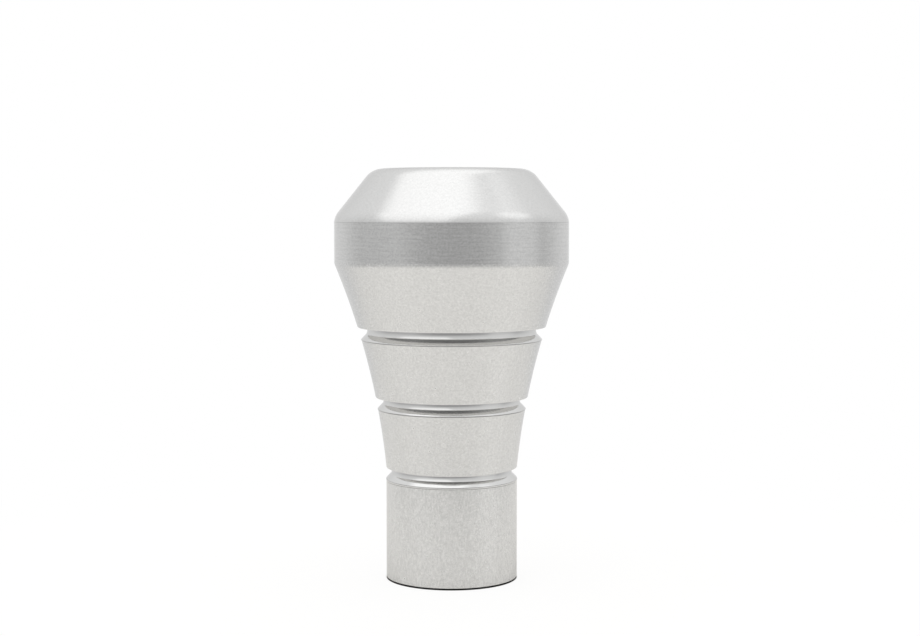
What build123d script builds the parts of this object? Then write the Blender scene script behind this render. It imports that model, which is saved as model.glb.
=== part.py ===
"""Waisted gear shift knob, turned from one bar of steel.

Millimetres, +Z up. The origin is on the turning axis, in the plane of the flat foot.
From the foot up, the outline is a plain cylinder, a hollow-sided waist cut by three grooves,
a wide straight band and a bevelled crown with a flat top. A blind threaded hole for the
gear lever comes up from the foot.
"""

import math
import os

from build123d import *

# Diameters of the outline
foot_diameter = 25.8
band_diameter = 46.0
top_diameter = 31.0

# Heights of the outline, stacked from the foot up
foot_height = 19.55
ring_height = 11.42
top_ring_height = 12.5
band_height = 9.05
crown_height = 9.4

# Large arc that the three waist rings share
waist_arc_radius = 141.0

# Grooves: a flat lip above, a wall that leans out a little, then a flank that slopes out to the
# ring below. Both leans are measured from upright, in degrees.
groove_count = 3
groove_width = 2.42
groove_depth = 1.3
groove_wall_lean = 10.3
groove_flank_lean = 44.5

# Rounded and broken edges
top_round = 4.0
shoulder_round = 3.0
groove_edge_break = 0.15
band_edge_break = 0.15
foot_edge_break = 0.4

# Hole for the gear lever's thread, drawn at the thread's minor diameter
thread_diameter = 12.0
thread_pitch = 1.25
thread_depth = 30.0
drill_point_angle = 118.0
mouth_clearance = 0.4

# Edges closer than this in height are at one level
same_height = 0.001

# Radii, heights and slopes that follow from the sizes above
foot_radius = foot_diameter / 2
band_radius = band_diameter / 2
top_radius = top_diameter / 2
groove_pitch = ring_height + groove_width
lip_heights = [foot_height + groove_width + i * groove_pitch for i in range(groove_count)]
waist_low = lip_heights[0]
waist_high = lip_heights[-1] + top_ring_height
wall_slope = math.tan(math.radians(groove_wall_lean))
flank_slope = math.tan(math.radians(groove_flank_lean))
bend_height = (groove_depth - wall_slope * groove_width) / (flank_slope - wall_slope)
bend_depth = flank_slope * bend_height
shoulder_height = waist_high + band_height
overall_height = shoulder_height + crown_height

# The basic thread form is 5/8 of the height of its sharp triangle deep
thread_form_depth = 5 / 8 * math.sqrt(3) / 2 * thread_pitch
bore_radius = thread_diameter / 2 - thread_form_depth
mouth_radius = thread_diameter / 2 + mouth_clearance
drill_point_depth = bore_radius / math.tan(math.radians(drill_point_angle / 2))


def waist_radius_at(height):
    """Radius of the waist's arc at a height, found from the arc's two ends and its radius."""
    rise = waist_high - waist_low
    run = band_radius - foot_radius
    chord = math.hypot(rise, run)
    sag_side = math.sqrt(waist_arc_radius**2 - (chord / 2) ** 2) / chord
    centre_radius = (foot_radius + band_radius) / 2 + sag_side * rise
    centre_height = (waist_low + waist_high) / 2 - sag_side * run
    return centre_radius - math.sqrt(waist_arc_radius**2 - (height - centre_height) ** 2)


def edge_radius_below(lip_height):
    """Radius of the ring or foot whose top edge ends the groove under a lip."""
    height = lip_height - groove_width
    return foot_radius if lip_height == waist_low else waist_radius_at(height)


def outer_edge(knob, height):
    """The outermost round edge of the knob at a height."""
    level = knob.edges().filter_by(GeomType.CIRCLE)
    level = level.filter_by_position(Axis.Z, height - same_height, height + same_height)
    return level.sort_by(SortBy.RADIUS)[-1]


with BuildPart() as shift_knob:
    # Turned blank: half its section, revolved about the axis
    with BuildSketch(Plane.XZ):
        with BuildLine():
            foot = Polyline((0, 0), (foot_radius, 0), (foot_radius, waist_low))
            waist = RadiusArc(foot @ 1, (band_radius, waist_high), waist_arc_radius)
            Polyline(
                waist @ 1,
                (band_radius, shoulder_height),
                (top_radius, overall_height),
                (0, overall_height),
                (0, 0),
            )
        make_face()
    revolve(axis=Axis.Z)

    fillet(outer_edge(shift_knob, overall_height), top_round)
    fillet(outer_edge(shift_knob, shoulder_height), shoulder_round)
    chamfer(outer_edge(shift_knob, waist_high), band_edge_break)
    chamfer(outer_edge(shift_knob, 0), foot_edge_break)

    # Grooves, each with its lip and its lower edge broken
    for lip_height in lip_heights:
        edge_radius = edge_radius_below(lip_height)
        groove_foot = lip_height - groove_width
        with BuildSketch(Plane.XZ):
            with BuildLine():
                Polyline(
                    (band_radius, lip_height),
                    (edge_radius - groove_depth, lip_height),
                    (edge_radius - bend_depth, groove_foot + bend_height),
                    (edge_radius, groove_foot),
                    (band_radius, groove_foot),
                    close=True,
                )
            make_face()
        revolve(axis=Axis.Z, mode=Mode.SUBTRACT)

        chamfer(outer_edge(shift_knob, lip_height), groove_edge_break)
        chamfer(outer_edge(shift_knob, groove_foot), groove_edge_break)

    # Blind hole with a countersunk mouth and the drill's point left at its end
    with BuildSketch(Plane.XZ):
        with BuildLine():
            Polyline(
                (0, 0),
                (mouth_radius, 0),
                (bore_radius, mouth_radius - bore_radius),
                (bore_radius, thread_depth),
                (0, thread_depth + drill_point_depth),
                close=True,
            )
        make_face()
    revolve(axis=Axis.Z, mode=Mode.SUBTRACT)

shift_knob.part.label = "shift_knob"

os.makedirs("parts", exist_ok=True)
export_step(shift_knob.part, "parts/shift_knob.step")

size = shift_knob.part.bounding_box().size
print(f"shift knob {size.X:.2f} x {size.Y:.2f} x {size.Z:.2f} mm")
print(f"volume {shift_knob.part.volume / 1000:.2f} cm3, faces {len(shift_knob.faces())}")
print(f"thread bore {2 * bore_radius:.3f} mm, groove lips at {lip_heights}")
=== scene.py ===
# %% [markdown]
# # A gear shift knob turned from one bar of steel
# The knob is a lathe job: a blank is spun about its axis and a tool cuts one outline into it.
# There is a flat top, a bevelled crown, a straight band, a hollow waist with three grooves and a
# plain foot. A threaded hole comes up from below for the gear lever.
#
# The imported solid comes in first. It fixes the size and the place of everything that follows.

# %% Load the imported knob
import math
from typing import NamedTuple

import bpy
import numpy as np
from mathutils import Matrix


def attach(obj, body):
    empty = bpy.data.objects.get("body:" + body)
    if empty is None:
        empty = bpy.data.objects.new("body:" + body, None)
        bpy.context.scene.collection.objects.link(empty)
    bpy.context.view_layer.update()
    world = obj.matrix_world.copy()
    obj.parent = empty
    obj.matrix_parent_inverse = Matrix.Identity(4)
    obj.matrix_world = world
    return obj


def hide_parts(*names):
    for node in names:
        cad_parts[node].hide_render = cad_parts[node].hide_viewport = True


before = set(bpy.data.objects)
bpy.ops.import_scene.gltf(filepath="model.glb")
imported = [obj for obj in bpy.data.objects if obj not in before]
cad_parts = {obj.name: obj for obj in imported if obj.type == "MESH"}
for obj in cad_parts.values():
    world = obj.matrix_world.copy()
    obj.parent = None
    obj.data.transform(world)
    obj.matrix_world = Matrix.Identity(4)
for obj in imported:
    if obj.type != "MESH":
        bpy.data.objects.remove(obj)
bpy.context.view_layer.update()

MM = 0.001
cad_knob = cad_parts["shift_knob"]

# %% [markdown]
# ## Sizes of the outline
# A turned part is fully told by half of its section. The outline could be traced from the solid's
# mesh, but a mesh has lost its arcs. The solid's own numbers are used instead, in millimetres
# from the axis and up from the foot. The three rings of the waist share one large arc, so the arc
# is found once from its two ends and its radius, and every ring reads its radius from that.

# %% Sizes and the arc of the waist
FOOT_RADIUS, BAND_RADIUS, TOP_RADIUS = 12.9, 23.0, 15.5
WAIST_LOW, WAIST_HIGH, SHOULDER, TOP = 21.97, 62.15, 71.2, 80.6
WAIST_ARC = 141.0

chord = np.array([BAND_RADIUS - FOOT_RADIUS, WAIST_HIGH - WAIST_LOW])
chord_length = np.hypot(*chord)
centre_share = math.sqrt(WAIST_ARC**2 - (chord_length / 2) ** 2) / chord_length
arc_radius = (FOOT_RADIUS + BAND_RADIUS) / 2 + centre_share * chord[1]
arc_height = (WAIST_LOW + WAIST_HIGH) / 2 - centre_share * chord[0]


def waist_radius(height):
    """Radius of the waist: the arc's centre less the leg of its right triangle at that height."""
    return arc_radius - np.sqrt(WAIST_ARC**2 - (height - arc_height) ** 2)


print(f"the waist's arc has its centre {arc_radius:.1f} mm out and {arc_height:.1f} mm up")

# %% [markdown]
# ## Strokes of the outline
# A turner cuts an outline as a run of strokes: straight passes, rounded corners, and sweeps along
# an arc. One long list of points could hold it all, but nobody could read a round out of that
# list. So each kind of stroke is a small function that returns its points as (radius, height),
# from the top of the knob downwards. Where a surface leans, its tilt says how: 0 degrees faces
# straight out, 90 faces up, less than 0 faces down, and an arc is a sweep from one tilt to
# another.

# %% Straight passes and rounded corners
ROW = 0.7
ROUND_STEP = math.radians(3)


def straight(start, end, row=ROW):
    """Points on a line: the start plus a growing share of the way to the end."""
    start, end = np.array(start, float), np.array(end, float)
    count = int(np.ceil(np.linalg.norm(end - start) / row)) + 1
    return start + np.linspace(0, 1, max(count, 2))[:, None] * (end - start)


def rounded(before, corner, after, radius):
    """Arc that touches both sides of a corner: its centre is on the bisector, radius / sine of
    half the corner away, and its points turn from the first side's foot to the second's."""
    corner = np.array(corner, float)
    one, two = np.array(before) - corner, np.array(after) - corner
    one, two = one / np.linalg.norm(one), two / np.linalg.norm(two)
    half = math.acos(one @ two) / 2
    bisector = (one + two) / np.linalg.norm(one + two)
    centre = corner + bisector * radius / math.sin(half)
    spokes = [corner + side * radius / math.tan(half) - centre for side in (one, two)]
    turn = math.pi - 2 * half
    share = np.linspace(0, turn, int(np.ceil(turn / ROUND_STEP)) + 1)[:, None]
    return centre + (np.sin(turn - share) * spokes[0] + np.sin(share) * spokes[1]) / math.sin(turn)


print("points on a round over a right angle:", len(rounded((0, 2), (2, 2), (2, 0), 1)))

# %% Arcs by their tilts, and passes along the waist
FEWEST_ON_ARC = 4


def facing(tilt):
    """The way a surface faces when it is tilted up by so many degrees: (cosine, sine)."""
    return np.stack([np.cos(np.radians(tilt)), np.sin(np.radians(tilt))], axis=-1)


def turned(start, tilt, end_tilt, radius):
    """Arc from a point: start + radius * (facing(t) - facing(tilt)), for t from one tilt to the
    other. A negative radius makes the arc hollow."""
    count = int(np.ceil(abs(math.radians(end_tilt - tilt)) / ROUND_STEP)) + 1
    tilts = np.linspace(tilt, end_tilt, max(count, FEWEST_ON_ARC))
    return np.array(start, float) + radius * (facing(tilts) - facing(tilt))


def along_waist(high, low):
    """Points down the waist's arc from one height to another, at even steps along the arc."""
    ends = np.arcsin((np.array([high, low]) - arc_height) / WAIST_ARC)
    count = int(np.ceil((high - low) / ROW)) + 1
    heights = arc_height + WAIST_ARC * np.sin(np.linspace(*ends, count))
    return np.stack([waist_radius(heights), heights], axis=1)


print("points down the whole waist:", len(along_waist(WAIST_HIGH, WAIST_LOW)))

# %% [markdown]
# ## Crown and band
# The crown is the bevelled head that fills the palm, and the band under it is the widest part.
# Bevel modifiers could round their corners, but here each round is a stroke with a radius of its
# own. The bevel runs into a wide round that stops a few degrees short of upright, and a hair-thin
# step under it, darkened with painted shade, makes the edge where the band begins. The band's lower
# corner is only eased, which lets its grey fade into the waist. Each stroke carries the name of its
# finish, so the same list later tells which faces get which material.

# %% Crown and band
TOP_ROUND, SHOULDER_ROUND, BAND_ROUND = 4.0, 4.1, 2.5
SHOULDER_TILT, PAINTED_LINE_STEP = 7.0, 0.04
# Length of waist that gives a corner its direction
AIM = 1.0

crown_low, crown_high = (BAND_RADIUS, SHOULDER), (TOP_RADIUS, TOP)
crown_tilt = math.degrees(math.atan2(BAND_RADIUS - TOP_RADIUS, TOP - SHOULDER))
inset = SHOULDER_ROUND * (facing(SHOULDER_TILT) - facing(crown_tilt))[0]
round_start = (BAND_RADIUS - inset, SHOULDER + inset / math.tan(math.radians(crown_tilt)))
waist_start = along_waist(WAIST_HIGH, WAIST_HIGH - AIM)

top_curve = rounded((0, TOP), crown_high, crown_low, TOP_ROUND)
shoulder_curve = turned(round_start, crown_tilt, SHOULDER_TILT, SHOULDER_ROUND)
band_top = shoulder_curve[-1] - (0, PAINTED_LINE_STEP)
band_curve = rounded(crown_low, waist_start[0], waist_start[-1], BAND_ROUND)
strokes = [
    ("crown", straight((0, TOP), top_curve[0])),
    ("crown", top_curve),
    ("crown", straight(top_curve[-1], shoulder_curve[0])),
    ("crown", shoulder_curve),
    # The line under the crown takes the rim finish, whose dark is painted shade.
    ("rim", np.array([shoulder_curve[-1], band_top])),
    ("band", straight(band_top, band_curve[0])),
    ("waist", band_curve),
]
print(f"bevel tilted {crown_tilt:.1f} degrees")
print(f"band from {band_curve[0, 1]:.2f} to {band_top[1]:.2f} mm up")

# %% [markdown]
# ## Rings and grooves of the waist
# Three grooves part the waist into rings that keep the fingers from sliding. They could be cut as
# plain notches with a Boolean, but polished metal shows every degree of tilt: most of the bright
# and dark lines in a groove are what its faces mirror. So a groove is a row of arcs with chosen
# tilts.
# Under a rounded lip, slightly undercut, the wall is hollow: its top looks down at the floor and
# its foot looks up. A tight bend leads to the flank, which slopes out to a small tip. Deep in the
# groove the flank mirrors the underside of the lip, and that is the dark line. A narrow brow, a
# land and a step bring the tip back to the ring below. The thin dark line at the tip is painted
# shade: the brow and the step get a darkened steel.

# %% What differs from groove to groove
class Groove(NamedTuple):
    """One groove, from its lip down, in millimetres and degrees."""

    lip: float  # Height of the lip
    lip_round: float  # Radius of its corner
    lean: float  # How much more the wall faces up than the first groove's
    wall_arc: float  # Radius of the hollow wall
    tip: float  # Height where the flank and the brow cross
    brow: float  # Height of the brow
    land: float  # Height of the land
    step: float  # How far the land stands out from the ring below


GROOVES = (
    Groove(49.65, 0.2, 0.0, 2.39, 47.27, 0.06, 0.02, 0.1),
    Groove(35.81, 0.2, 1.4, 2.13, 33.6, 0.08, 0.02, 0.1),
    Groove(21.97, 0.15, 2.6, 2.25, 19.76, 0.1, 0.2, 0.05),
)
print("lips of the grooves in mm:", [groove.lip for groove in GROOVES])

# %% Lower edge and hollow of a groove
WALL_TOP, WALL_FOOT, FLANK_TOP, FLANK_FOOT, BROW_TILT = -11.0, 21.0, 46.5, 41.0, 3.0
BEND, UNDERCUT, TIP_ROUND, STEP_HIGH, LIP_ROW = 0.35, 0.08, 0.1, 0.13, 0.3


def lower_edge(groove):
    """Tip, land and foot of the step. The tip is an arc between the flank's line and the brow's,
    and starts its radius * the tangent of half their angle before the point where they cross."""
    below = groove.tip - groove.brow - groove.land - STEP_HIGH
    base = FOOT_RADIUS if groove.lip == WAIST_LOW else float(waist_radius(below))
    land_radius = base + groove.step
    land = np.array([(land_radius, groove.tip - groove.brow), (land_radius, below + STEP_HIGH)])
    crossing = (land_radius - groove.brow * math.tan(math.radians(BROW_TILT)), groove.tip)
    gap = TIP_ROUND * math.tan(math.radians(FLANK_FOOT - BROW_TILT) / 2)
    tip = turned(crossing - gap * facing(FLANK_FOOT - 90), FLANK_FOOT, BROW_TILT, TIP_ROUND)
    return tip, land, (base, below)


def hollow(groove, end):
    """Wall, bend and flank, each from the last one's end. The flank's radius is the height left
    for it / the difference of its tilts' sines, and all three move so that it stops at the end."""
    wall = turned((0, 0), WALL_TOP + groove.lean, WALL_FOOT + groove.lean, -groove.wall_arc)
    bend = turned(wall[-1], WALL_FOOT + groove.lean, FLANK_TOP, -BEND)
    drop = groove.lip + UNDERCUT - end[1] + bend[-1, 1]
    flank_sines = (facing(FLANK_TOP) - facing(FLANK_FOOT))[1]
    flank = turned(bend[-1], FLANK_TOP, FLANK_FOOT, drop / flank_sines)
    root = end - flank[-1]
    return wall + root, bend + root, flank + root


print(f"the wall turns through {WALL_FOOT - WALL_TOP:.0f} degrees")

# %% Rings and grooves
ring_top = band_curve[-1, 1]
for groove in GROOVES:
    tip, land, ring_start = lower_edge(groove)
    wall, bend, flank = hollow(groove, tip[0])
    ring_end = along_waist(groove.lip + AIM, groove.lip)
    lip = rounded(ring_end[0], ring_end[-1], wall[0], groove.lip_round)
    strokes += [
        ("waist", along_waist(ring_top, lip[0, 1])),
        ("edge", lip),
        ("groove", straight(lip[-1], wall[0], LIP_ROW)),
        ("groove", wall),
        ("groove", bend),
        ("groove", flank),
        ("edge", tip),
        # Brow and step: painted shade darkens them.
        ("rim", np.array([tip[-1], land[0]])),
        ("edge", land),
        ("rim", np.array([land[1], ring_start])),
    ]
    ring_top = ring_start[1]
    print(f"groove at {groove.lip:.2f}: {tip[-1, 0] - wall[0, 0]:.2f} mm deep")

# %% [markdown]
# ## The foot
# The foot is a plain cylinder with a faced end. Its lower edge is broken by a small chamfer that
# looks down and away from the light. It shows as a dark line where the knob meets the table, and
# most of that dark is painted shadow: the chamfer's steel is made nearly black. A Bevel modifier
# could make it, but a chamfer is one straight pass of the tool and one row here. The faced end runs
# in to the mouth of the hole.

# %% Foot
MOUTH_RADIUS = 6.4
UNDER_HIGH, UNDER_DEEP = 0.36, 0.28
under_edge = np.array([(FOOT_RADIUS, UNDER_HIGH), (FOOT_RADIUS - UNDER_DEEP, 0)])
strokes += [
    ("foot", straight((FOOT_RADIUS, ring_top), under_edge[0])),
    ("under", under_edge),
    ("faced", straight(under_edge[1], (MOUTH_RADIUS, 0))),
]
print("strokes on the outside:", len(strokes), "points:", sum(len(s) for _, s in strokes))

# %% [markdown]
# ## The threaded hole
# The lever's end has a metric thread, 12 mm with a pitch of 1.25 mm, so the hole is tapped to
# match. The solid keeps the plain wall at the thread's crests, and a bump could fake the rest.
# Here the real helix is cut: at each height and angle the wall steps outwards by a trapezoid that
# repeats once a pitch and climbs once a turn. A countersink opens the mouth, the tap stops short
# of the bottom, and the drill leaves its cone there.

# %% Wall of the hole
THREAD_RADIUS, PITCH = 6.0, 1.25
# The basic form is 5/8 of the height of its sharp triangle deep
THREAD_FORM = 5 / 8 * math.sqrt(3) / 2 * PITCH
BORE_RADIUS = THREAD_RADIUS - THREAD_FORM
ROOT_FLAT, CREST_FLAT = 1 / 8, 1 / 4
TAPPED_DEPTH, RUN_OUT = 26.0, 1.5


def hole_radius(height, angle):
    """The larger of the countersink's cone, the mouth less the height, and the thread: the bore
    plus the form's depth * a trapezoid of (height / pitch - turns), fading where the tap stops."""
    phase = height / PITCH - angle / (2 * math.pi)
    wave = np.abs(2 * (phase % 1) - 1)
    form = np.clip((1 - CREST_FLAT - wave) / (1 - CREST_FLAT - ROOT_FLAT), 0, 1)
    fade = np.clip((TAPPED_DEPTH + RUN_OUT - height) / RUN_OUT, 0, 1)
    return np.maximum(MOUTH_RADIUS - height, BORE_RADIUS + THREAD_FORM * form * fade)


print(f"bore radius {BORE_RADIUS:.3f} mm, thread {THREAD_FORM:.3f} mm deep in its wall")

# %% Strokes of the hole
HOLE_DEPTH, DRILL_HALF_ANGLE, TAPPED_ROWS = 30.0, 59.0, 216
drill_point = BORE_RADIUS / math.tan(math.radians(DRILL_HALF_ANGLE))
tapped_rows = np.linspace(0, TAPPED_DEPTH + RUN_OUT, TAPPED_ROWS)
tapped = np.stack([np.maximum(MOUTH_RADIUS - tapped_rows, BORE_RADIUS), tapped_rows], axis=1)
strokes += [
    ("thread", tapped),
    ("thread", straight(tapped[-1], (BORE_RADIUS, HOLE_DEPTH))),
    ("thread", straight((BORE_RADIUS, HOLE_DEPTH), (0, HOLE_DEPTH + drill_point))),
]
print(f"hole {HOLE_DEPTH:.0f} mm deep, with {TAPPED_DEPTH / PITCH:.1f} turns of thread")

# %% [markdown]
# ## Rows of the surface
# The strokes become one run of rows. Every stroke could be a piece of its own, but then each join
# would be a seam. A stroke starts where the last one ended, so its first point is dropped, and
# every gap between two rows remembers its finish. The distance walked along the outline is kept
# too: turning marks follow it over corners where height alone would stand still.

# %% Join the strokes
rows = np.concatenate([strokes[0][1][:1]] + [points[1:] for _, points in strokes])
row_finish = np.concatenate([np.full(len(points) - 1, name) for name, points in strokes])
walked = np.concatenate([[0], np.cumsum(np.linalg.norm(np.diff(rows, axis=0), axis=1))])
print(f"{len(rows)} rows along {walked[-1]:.1f} mm of outline")

# %% [markdown]
# ## A check against the solid
# This is the time for a check, while the outline is still plain numbers: every corner of the
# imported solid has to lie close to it, apart by no more than the fine rounds that only the outline
# has. A loop over the corners would be slow, so the distances are one table of all corners
# against all pieces of the outline, and each corner keeps its smallest.

# %% Compare the outline with the solid
corners = np.empty(len(cad_knob.data.vertices) * 3)
cad_knob.data.vertices.foreach_get("co", corners)
corners = corners.reshape(-1, 3) / MM
flat = np.stack([np.hypot(corners[:, 0], corners[:, 1]), corners[:, 2]], axis=1)[:, None, :]
piece_start, piece = rows[:-1][None], np.diff(rows, axis=0)[None]
share = np.clip(((flat - piece_start) * piece).sum(2) / (piece**2).sum(2), 0, 1)
apart = np.linalg.norm(flat - piece_start - share[:, :, None] * piece, axis=2).min(axis=1)
print(f"solid's corners are at most {apart.max():.3f} mm from the outline")

# %% [markdown]
# ## Turn the outline round the axis
# A Screw modifier could do this. A grid of radius, angle and height does the same in one line of
# array maths and also lets the thread's radius change with the angle. The two ends of the outline
# lie on the axis, so each becomes one point with a fan of triangles, and the last column joins
# the first: the skin is closed.

# %% Points of the turned skin
COLUMNS = 160
angle = np.arange(COLUMNS) * 2 * math.pi / COLUMNS
inner = rows[1:-1]
radius = np.repeat(inner[:, :1], COLUMNS, axis=1)
height = np.repeat(inner[:, 1:], COLUMNS, axis=1)
first_tapped = int(np.argmax(row_finish == "thread")) - 1
threaded = slice(first_tapped, first_tapped + len(tapped))
radius[threaded] = hole_radius(inner[threaded, 1:], angle[None, :])

points = np.stack([radius * np.cos(angle), radius * np.sin(angle), height], axis=2).reshape(-1, 3)
ends = np.array([[0, 0, rows[0, 1]], [0, 0, rows[-1, 1]]])
points = np.concatenate([points, ends]) * MM
print(f"{len(points)} points in {COLUMNS} columns")

# %% Faces of the turned skin
index = np.arange(len(inner) * COLUMNS).reshape(len(inner), COLUMNS)
ahead = np.roll(index, -1, axis=1)
top_point, drill_tip = len(points) - 2, len(points) - 1
quads = np.stack([index[:-1], index[1:], ahead[1:], ahead[:-1]], axis=2).reshape(-1, 4)
top_fan = np.stack([np.full(COLUMNS, top_point), index[0], ahead[0]], axis=1)
tip_fan = np.stack([index[-1], np.full(COLUMNS, drill_tip), ahead[-1]], axis=1)
faces = top_fan.tolist() + quads.tolist() + tip_fan.tolist()
face_finish = np.repeat(row_finish, COLUMNS)
print(f"{len(faces)} faces, {2 * len(quads) + 2 * COLUMNS} triangles")

# %% [markdown]
# ## The knob as a mesh
# The faces are shaded smooth, and an edge stays crisp wherever two faces meet at more than a set
# angle, so lips and bevels catch light as thin lines. Smooth shading alone would blur them. The
# walked distance goes into the mesh as an attribute for the finishes to read. The piece rides on
# the frame's only body and stands for the plain solid.

# %% Make the knob
CRISP_ANGLE = math.radians(9)
knob_mesh = bpy.data.meshes.new("turned_knob")
knob_mesh.from_pydata(points, [], faces)
knob_mesh.polygons.foreach_set("use_smooth", np.ones(len(faces), bool))
knob_mesh.set_sharp_from_angle(angle=CRISP_ANGLE)
walked_points = np.append(np.repeat(walked[1:-1], COLUMNS), [walked[0], walked[-1]])
knob_mesh.attributes.new("walked", "FLOAT", "POINT").data.foreach_set("value", walked_points)
knob_mesh.update()

knob = bpy.data.objects.new("turned_knob", knob_mesh)
bpy.context.scene.collection.objects.link(knob)
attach(knob, "root")
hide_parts("shift_knob")
print("knob size in mm:", [round(d / MM, 2) for d in knob.dimensions])

# %% [markdown]
# ## Writing shaders as sums
# A node tree could be wired node by node, but it is easier to read as an expression. A wire is
# one output of a node. Adding or multiplying wires adds the Math node that does it, and one
# method adds any other node: first its settings, then the values or wires for its sockets.

# %% Wires
class Wire:
    """An output of a shader node that can be used in sums."""

    def __init__(self, tree, output=None):
        self.tree = tree
        self.output = output

    def node(self, kind, settings=None, sockets=None, out=0):
        """Add a node of a kind, set its settings, then fill or link its sockets."""
        made = self.tree.nodes.new(kind)
        for name, value in (settings or {}).items():
            setattr(made, name, value)
        for name, value in (sockets or {}).items():
            if isinstance(value, Wire):
                self.tree.links.new(value.output, made.inputs[name])
            else:
                made.inputs[name].default_value = value
        return Wire(self.tree, made.outputs[out]) if made.outputs else made

    def math(self, operation, *values):
        """Work on numbers."""
        return self.node("ShaderNodeMath", {"operation": operation}, dict(enumerate(values)))

    def vector(self, operation, *values, out=0):
        """Work on vectors."""
        sockets = dict(enumerate(values))
        return self.node("ShaderNodeVectorMath", {"operation": operation}, sockets, out)

    def mix(self, share, start, end):
        """Colour that goes from start to end as the share goes from 0 to 1."""
        sockets = {0: share, 6: start, 7: end}
        return self.node("ShaderNodeMix", {"data_type": "RGBA"}, sockets, out=2)

    def rise(self, low, high):
        """0 below low, 1 above high, and a smooth S between."""
        sockets = {"Value": self, "From Min": low, "From Max": high}
        return self.node("ShaderNodeMapRange", {"interpolation_type": "SMOOTHSTEP"}, sockets)

    def __add__(self, other):
        return self.math("ADD", self, other)

    def __sub__(self, other):
        return self.math("SUBTRACT", self, other)

    def __rsub__(self, other):
        return self.math("SUBTRACT", other, self)

    def __mul__(self, other):
        return self.math("MULTIPLY", self, other)

    __radd__ = __add__
    __rmul__ = __mul__


def blank_tree(owner):
    """A wire with no output yet, on an emptied node tree."""
    owner.use_nodes = True
    owner.node_tree.nodes.clear()
    return Wire(owner.node_tree)


print("wires add, subtract, multiply, mix and rise")

# %% [markdown]
# ## Turned steel
# A lathe leaves rings: scratches finer than the eye can part, with broader marks among them. The
# fine ones spread a reflection across the rings and hardly along them, which is what the
# anisotropy of the shader is for. Its tangent runs round the axis by itself, and a quarter turn
# points the wide side of the highlight up the outline.
#
# The broader marks could come from a picture, but noise needs none and stays sharp close up.
# There are rings that follow the tool, specks of the metal's own grain, streaks that run up the
# outline, and a wave with one crest to each step of the tool. Rings, streaks and wave are read
# from the direction round the axis and the walked distance, so they close on themselves without a
# seam.

# %% Marks on the metal
RING_WIDTH, SPECK_SIZE, STREAK_LENGTH, FEED_STEP = 0.22, 0.37, 1.0, 0.82
# Patches of noise to one radius of the circle round the axis
RING_PATCHES, STREAK_PATCHES, DRIFT_PATCHES = 9, 45, 2
DRIFT_STEPS, DRIFT_PUSH = 3, 4


def turning_marks(blank):
    """Rings, specks, streaks and the tool's wave, each about zero. Noise is taken at (direction *
    patches, walked distance / length), or in space for the specks. The wave is the sine of the
    walked distance, one turn to a step, pushed to and fro by a slow noise."""
    position = blank.node("ShaderNodeTexCoord", out="Object")
    walked_wire = blank.node("ShaderNodeAttribute", {"attribute_name": "walked"}, out="Fac")
    around = blank.vector("NORMALIZE", blank.vector("MULTIPLY", position, (1, 1, 0)))

    def noise(place, scale=1.0, detail=1.0):
        sockets = {"Vector": place, "Scale": scale, "Detail": detail}
        return blank.node("ShaderNodeTexNoise", None, sockets) - 0.5

    def unrolled(patches, length):
        lane = blank.node("ShaderNodeCombineXYZ", None, {"Z": walked_wire * (1 / length)})
        return blank.vector("MULTIPLY_ADD", around, (patches, patches, 0), lane)

    ring = noise(unrolled(RING_PATCHES, RING_WIDTH))
    speck = noise(position, 1 / (SPECK_SIZE * MM))
    streak = noise(unrolled(STREAK_PATCHES, STREAK_LENGTH))
    drift = noise(unrolled(DRIFT_PATCHES, DRIFT_STEPS * FEED_STEP), detail=0.0)
    wave = blank.math("SINE", walked_wire * (2 * math.pi / FEED_STEP) + drift * DRIFT_PUSH)
    return ring, speck, streak, wave


print(f"steps of the tool on the band: {(band_top[1] - band_curve[0, 1]) / FEED_STEP:.1f}")

# %% [markdown]
# One function makes every finish, because the cuts differ only in how smooth they are, how strong
# each mark is and how much painted shade darkens the steel. The marks change the colour first.
# They also make the gloss a little uneven and lift the surface by a hair, as real turning does.
# The shade is painted shade for lines too thin for light alone to darken: the steps under the
# grooves, the line under the crown and the foot's under edge get a darker steel than the rest.

# %% A function for lathe finishes
STEEL = (0.66, 0.66, 0.655)
TONE_SPREAD, MARK_DEPTH = 0.1, 0.0002
SPECK_GLOSS, RING_GLOSS = 0.05, 0.04


def lathe_finish(name, roughness, rings, specks, streaks=0.0, feed=0.0, shade=1.0):
    """Steel between a darker and a lighter tone: a half plus the sum of mark * its strength."""
    material = bpy.data.materials.new(name)
    blank = blank_tree(material)
    ring, speck, streak, wave = turning_marks(blank)
    tone = ring * rings + speck * specks + streak * streaks + wave * feed + 0.5
    # A shade below 1 is painted shade: both tones of the steel are darkened by it.
    dark, light = [
        tuple(part * shade * level for part in STEEL) + (1,)
        for level in (1 - TONE_SPREAD, 1 + TONE_SPREAD)
    ]
    sockets = {"Strength": 1.0, "Distance": MARK_DEPTH * rings * MM, "Height": ring}
    bump = blank.node("ShaderNodeBump", None, sockets)
    sockets = {
        "Base Color": blank.mix(tone, dark, light),
        "Metallic": 1.0,
        "Specular Tint": (0.8, 0.8, 0.8, 1),
        "Roughness": roughness + speck * SPECK_GLOSS + ring * RING_GLOSS,
        "Anisotropic": 0.9,
        "Anisotropic Rotation": 0.25,
        "Normal": bump,
    }
    steel = blank.node("ShaderNodeBsdfPrincipled", None, sockets)
    blank.node("ShaderNodeOutputMaterial", None, {"Surface": steel})
    return material


print("a finish's lighter tone:", [round(part * (1 + TONE_SPREAD), 3) for part in STEEL])

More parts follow.
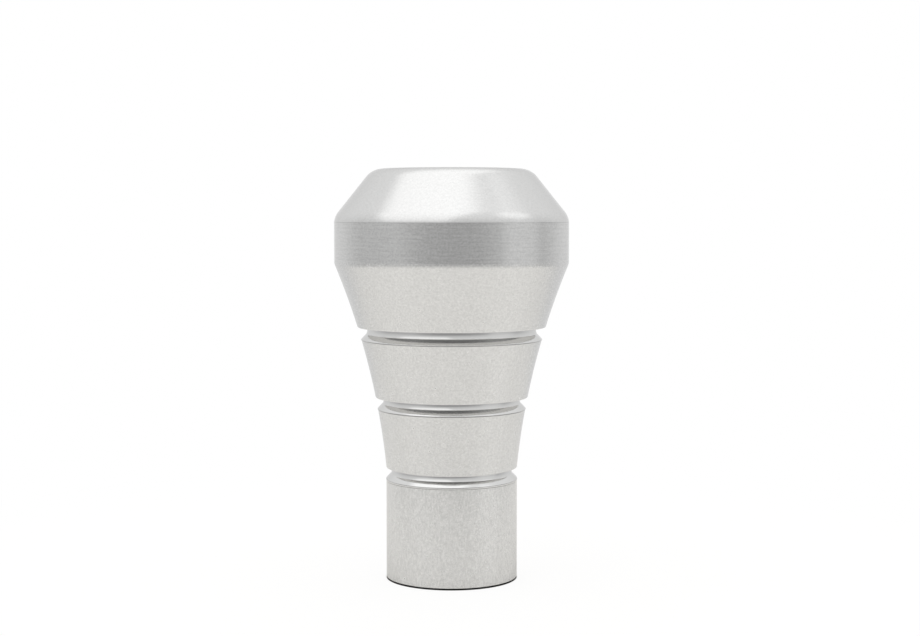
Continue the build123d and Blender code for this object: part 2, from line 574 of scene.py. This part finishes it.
# %% Finishes of the knob
finishes = {
    "crown": lathe_finish("satin_crown", 0.2, 0.1, 0.9),
    "band": lathe_finish("turned_band", 0.17, 0.9, 1.3, feed=0.09),
    "waist": lathe_finish("satin_waist", 0.26, 0.1, 2.1),
    "groove": lathe_finish("cut_groove", 0.07, 0.1, 0.2),
    "edge": lathe_finish("broken_edge", 0.1, 0.1, 0.2),
    # Painted shade: the rim steel is darkened to stand for the dark of thin lines.
    "rim": lathe_finish("painted_shade_rim", 0.2, 0.1, 0.4, shade=0.45),
    "foot": lathe_finish("satin_foot", 0.26, 0.1, 1.7, streaks=1.5),
    # Painted shadow: the under edge's steel is made nearly black for the dark line at the contact.
    "under": lathe_finish("painted_shadow_under_edge", 0.4, 0.1, 0.4, shade=0.08),
    "faced": lathe_finish("faced_foot", 0.26, 1.4, 0.6),
    "thread": lathe_finish("tapped_thread", 0.25, 0.5, 0.5),
}
names = list(finishes)
for finish in finishes.values():
    knob_mesh.materials.append(finish)
slots = np.array([names.index(name) for name in face_finish], np.int32)
knob_mesh.polygons.foreach_set("material_index", slots)
print({name: int((slots == number).sum()) for number, name in enumerate(names)})

# %% [markdown]
# ## Camera
# The knob is seen from a little above its middle. A short lens close up would bulge the band, so
# the lens is long: the sides of the foot stay nearly upright while the rims still show as shallow
# ovals.

# %% Place the camera
SENSOR, LENS = 36.0, 66.207
CAMERA_AWAY, CAMERA_HEIGHT = 332.2, 72.51
LOOK_DOWN, LOOK_ASIDE = 3.6426, 0.2836
camera_data = bpy.data.cameras.new("studio_camera")
camera_data.sensor_fit = "HORIZONTAL"
camera_data.sensor_width = SENSOR
camera_data.lens = LENS
camera = bpy.data.objects.new("studio_camera", camera_data)
camera.location = (0.0, -CAMERA_AWAY * MM, CAMERA_HEIGHT * MM)
camera.rotation_euler = (math.radians(90 - LOOK_DOWN), 0.0, math.radians(-LOOK_ASIDE))
bpy.context.scene.collection.objects.link(camera)
bpy.context.scene.camera = camera
bpy.context.scene.view_settings.view_transform = "Standard"
print("camera distance in mm:", round(camera.location.length / MM, 1))

# %% [markdown]
# ## Floor
# The knob stands on a white sheet. A plane would do for the camera, but the waist mirrors the
# floor, and a disc ends at the same distance on every side. Its paper is a little warm, which the
# rings pick up. Under the foot the paper is painted dark out to the edge: a painted contact shadow
# that deepens the real shadow where the two touch. The camera sees the sheet mixed with plain
# white, so it melts into the background.

# %% Lay the floor
FLOOR_REACH, FLOOR_SIDES = 165.0, 96
turns = np.arange(FLOOR_SIDES) * 2 * math.pi / FLOOR_SIDES
sheet_rim = np.stack([np.cos(turns), np.sin(turns), 0 * turns], axis=1) * FLOOR_REACH
floor_points = np.concatenate([sheet_rim, [[0, 0, 0]]]) * MM
corner = np.arange(FLOOR_SIDES)
floor_fan = np.stack([np.full(FLOOR_SIDES, FLOOR_SIDES), corner, np.roll(corner, -1)], axis=1)
floor_mesh = bpy.data.meshes.new("white_sheet")
floor_mesh.from_pydata(floor_points, [], floor_fan.tolist())
floor = bpy.data.objects.new("white_sheet", floor_mesh)
bpy.context.scene.collection.objects.link(floor)
print("floor points:", len(floor_points))

# %% Paper of the floor
PAPER_DARK, PAPER_LIGHT, PAPER_GRAIN = (0.925, 0.91, 0.88, 1), (0.935, 0.92, 0.89, 1), 90.0
# The contact colour is a painted shadow under the foot.
PAINTED_CONTACT_SHADOW = (0.1, 0.095, 0.09, 1)
# Distances from the axis over which the painted contact shadow ends, white sets in, and white fills
# up
PAINTED_SHADOW_END, WHITE_START, WHITE_FULL = (12.8, 13.0), (12.8, 13.1), (40.0, 140.0)
NEAR_WHITE = 0.88

sheet = bpy.data.materials.new("white_sheet")
blank = blank_tree(sheet)
position = blank.node("ShaderNodeTexCoord", out="Object")
grain = blank.node("ShaderNodeTexNoise", None, {"Vector": position, "Scale": PAPER_GRAIN})
paper = blank.mix(grain, PAPER_DARK, PAPER_LIGHT)
away = blank.vector("LENGTH", position, out="Value") * (1 / MM)
matt = blank.node(
    "ShaderNodeBsdfDiffuse", None, {"Color": blank.mix(away.rise(*PAINTED_SHADOW_END), PAINTED_CONTACT_SHADOW, paper)}
)
white = blank.node("ShaderNodeEmission", None, {"Color": (1, 1, 1, 1), "Strength": 1.0})
whiteness = NEAR_WHITE * away.rise(*WHITE_START) + (1 - NEAR_WHITE) * away.rise(*WHITE_FULL)
seen = blank.node("ShaderNodeLightPath", out="Is Camera Ray") * whiteness
mixed = blank.node("ShaderNodeMixShader", None, {0: seen, 1: matt, 2: white})
blank.node("ShaderNodeOutputMaterial", None, {"Surface": mixed})
floor_mesh.materials.append(sheet)
print("nodes in the paper:", len(sheet.node_tree.nodes))

# %% [markdown]
# ## Light tent
# Polished metal shows its surroundings, so here the surroundings are the light. In a studio the
# knob would stand in a tent of white cloth with lamps outside. Area lamps could copy that, but
# they show as hard blocks in the band. So the world itself is the tent: a brightness for every
# direction, from how far the direction agrees with a few chosen ones. It climbs from a grey
# horizon to a white roof. The side that the camera looks in from is darker, and the band mirrors
# that and goes grey. A bright sheet hangs at the upper front left, where the crown mirrors it,
# and a soft one at the upper right. The camera sees plain white all round, and mirrored rays meet
# that white where they go behind the knob.

# %% Directions and the horizon
HORIZON, FRONT_DARK, BACK_LIGHT, RIGHT_LIGHT = 0.6, 0.21, 0.3, 0.16
# A side is a direction, as (right, back, up), and the two agreements between which it fades in
FRONT = (0, -1, 0), (0.55, 1.05)
BACK = (0, 1, 0), (0.05, 0.9)
RIGHT = (0.95, -0.31, 0), (0.88, 1.0)
world = bpy.data.worlds.new("light_tent")
bpy.context.scene.world = world
blank = blank_tree(world)
toward = blank.node("ShaderNodeTexCoord", out="Generated")


def agreement(direction):
    """How far a ray goes along a direction: the sum of the products of their three parts."""
    return blank.vector("DOT_PRODUCT", toward, direction, out="Value")


def fade_in(direction, between):
    """0 for rays that agree little with a direction, rising to 1 for those that agree more."""
    return agreement(direction).rise(*between)


horizon = HORIZON - fade_in(*FRONT) * FRONT_DARK
horizon = horizon + fade_in(*BACK) * BACK_LIGHT + fade_in(*RIGHT) * RIGHT_LIGHT
print(f"horizon {HORIZON - FRONT_DARK:.2f} in front, {HORIZON + BACK_LIGHT:.2f} behind")

# %% Roof and bright sheets
ROOF, CLIMB, LEFT_SHEET, RIGHT_SHEET = 1.1, 0.55, 0.38, 0.35
UP = (0, 0, 1)
# The left sheet is where three sides overlap: within its right, its left and its lower edge
SHEET_EDGES = (
    ((-1, 0.21, 0.331), (-0.12, 0.12)),
    ((0.45, -1, 0.725), (-0.07, 0.27)),
    (UP, (0.12, 0.5)),
)
SOFT_SHEET = (0.72, -0.14, 0.68), (0.94, 0.992)

climb = blank.math("POWER", blank.math("MAXIMUM", agreement(UP), 0.0), CLIMB)
left_sheet = math.prod(fade_in(*edge) for edge in SHEET_EDGES)
right_sheet = fade_in(*SOFT_SHEET)
tent = horizon + (ROOF - horizon) * climb + left_sheet * LEFT_SHEET + right_sheet * RIGHT_SHEET
print("nodes in the tent:", len(world.node_tree.nodes))

# %% White for the camera
BEHIND = (0, 1, 0), (0.5, 1.2)
camera_ray, glossy_ray, clear_ray = [
    blank.node("ShaderNodeLightPath", out=f"Is {kind} Ray")
    for kind in ("Camera", "Glossy", "Transmission")
]
seen = camera_ray + (glossy_ray + clear_ray) * fade_in(*BEHIND)
level = tent + seen * (1 - tent)
glow = blank.node("ShaderNodeBackground", None, {"Color": (1, 1, 1, 1), "Strength": level})
blank.node("ShaderNodeOutputWorld", None, {"Surface": glow})
print("nodes in the world:", len(world.node_tree.nodes))
